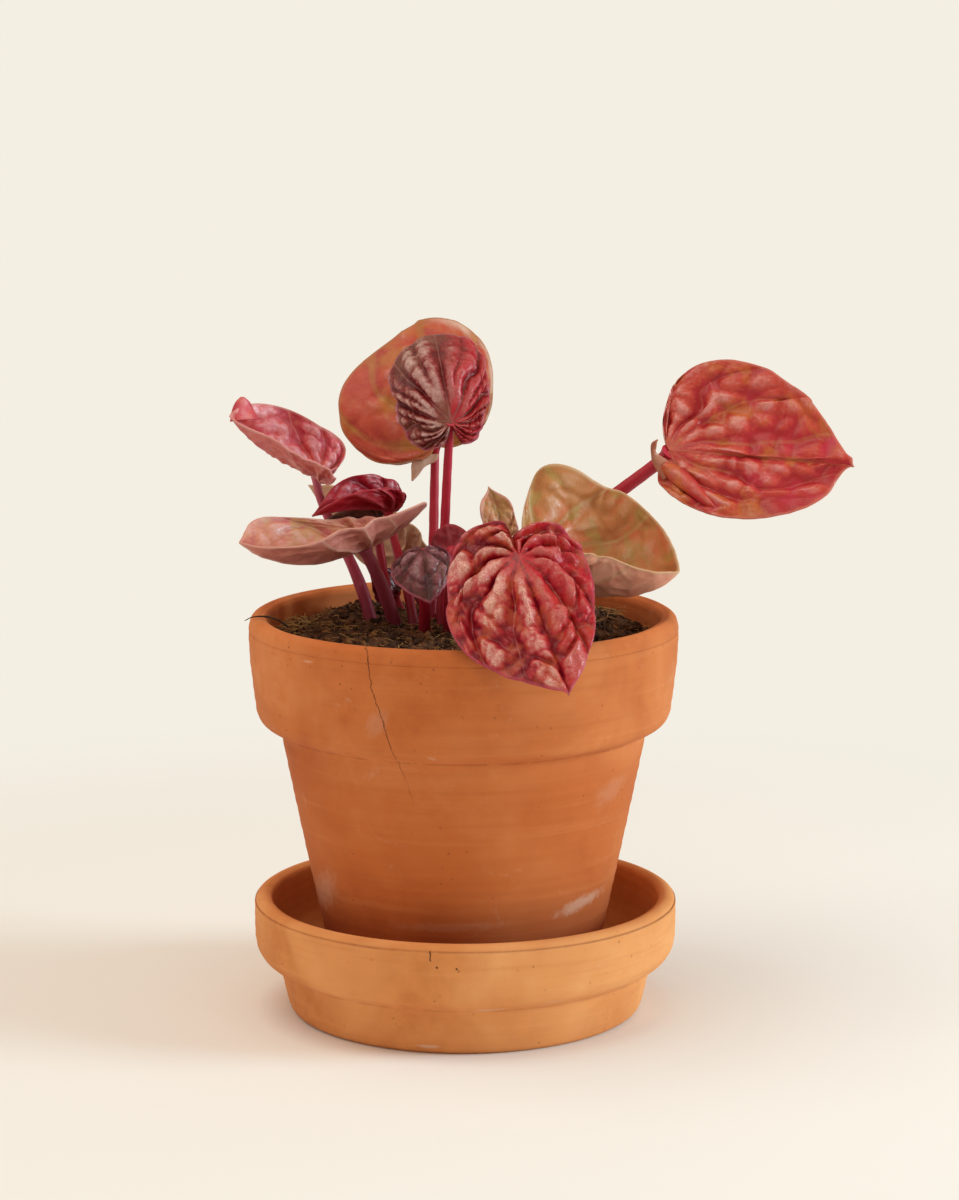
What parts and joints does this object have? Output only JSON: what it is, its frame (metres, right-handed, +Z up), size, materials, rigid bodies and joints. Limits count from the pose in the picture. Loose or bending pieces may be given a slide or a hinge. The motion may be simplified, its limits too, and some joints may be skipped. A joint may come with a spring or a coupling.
{
  "type": "potted quito peperomia plant",
  "caption": "Round tapered clay pot standing in its saucer, filled with soil and planted with a small rosette of puckered heart-shaped leaves on slender stalks.",
  "frame": {"origin": "centre of the saucer's flat underside, on the pot's axis", "axes": "+Z up along the pot's axis, +X to the viewer's right and +Y away from the viewer, seen from the plant's front"},
  "size_m": [0.1768, 0.1376, 0.1908],
  "materials": {
    "saucer_clay": "unglazed matte terracotta",
    "pot_clay": "unglazed matte terracotta",
    "crown_bark": "rough",
    "soil_peat": "crumbly matte",
    "leaf_upper_left_skin": "puckered, soft sheen",
    "leaf_lower_left_skin": "puckered, soft sheen",
    "leaf_arched_skin": "puckered, satin sheen",
    "leaf_beige_skin": "puckered, soft sheen",
    "leaf_tall_back_skin": "puckered, soft sheen",
    "leaf_tall_ribbed_skin": "puckered, satin sheen",
    "leaf_dark_ribbed_skin": "puckered, soft sheen",
    "leaf_round_dark_skin": "puckered, soft sheen",
    "leaf_front_skin": "puckered, satin sheen",
    "leaf_olive_cupped_skin": "puckered, soft sheen",
    "leaf_small_olive_skin": "puckered, soft sheen",
    "leaf_right_skin": "puckered, satin sheen",
    "leaf_low_glossy_skin": "puckered, satin sheen",
    "leaf_brown_shaded_skin": "puckered, soft sheen",
    "stalk_skin_1": "smooth, fleshy",
    "stalk_skin_2": "smooth, fleshy",
    "stalk_skin_3": "smooth, fleshy",
    "stalk_skin_4": "smooth, fleshy",
    "stalk_skin_5": "smooth, fleshy",
    "stalk_skin_6": "smooth, fleshy",
    "stalk_skin_7": "smooth, fleshy"
  },
  "bodies": {
    "root": {"saucer": "saucer_clay", "pot": "pot_clay", "root_crown": "crown_bark", "soil": "soil_peat", "leaf_upper_left": "leaf_upper_left_skin", "leaf_lower_left": "leaf_lower_left_skin", "leaf_arched": "leaf_arched_skin", "leaf_beige": "leaf_beige_skin", "leaf_tall_back": "leaf_tall_back_skin", "leaf_tall_ribbed": "leaf_tall_ribbed_skin", "leaf_dark_ribbed": "leaf_dark_ribbed_skin", "leaf_round_dark": "leaf_round_dark_skin", "leaf_front": "leaf_front_skin", "leaf_olive_cupped": "leaf_olive_cupped_skin", "leaf_small_olive": "leaf_small_olive_skin", "leaf_right": "leaf_right_skin", "leaf_low_glossy": "leaf_low_glossy_skin", "leaf_brown_shaded": "leaf_brown_shaded_skin", "stalk_upper_left": "stalk_skin_1", "stalk_lower_left": "stalk_skin_2", "stalk_arched": "stalk_skin_3", "stalk_beige": "stalk_skin_4", "stalk_tall_back": "stalk_skin_5", "stalk_tall_ribbed": "stalk_skin_5", "stalk_dark_ribbed": "stalk_skin_6", "stalk_round_dark": "stalk_skin_6", "stalk_front": "stalk_skin_3", "stalk_olive_cupped": "stalk_skin_3", "stalk_small_olive": "stalk_skin_2", "stalk_right": "stalk_skin_7", "stalk_low_glossy": "stalk_skin_6", "stalk_brown_shaded": "stalk_skin_6"}
  },
  "joints": []
}
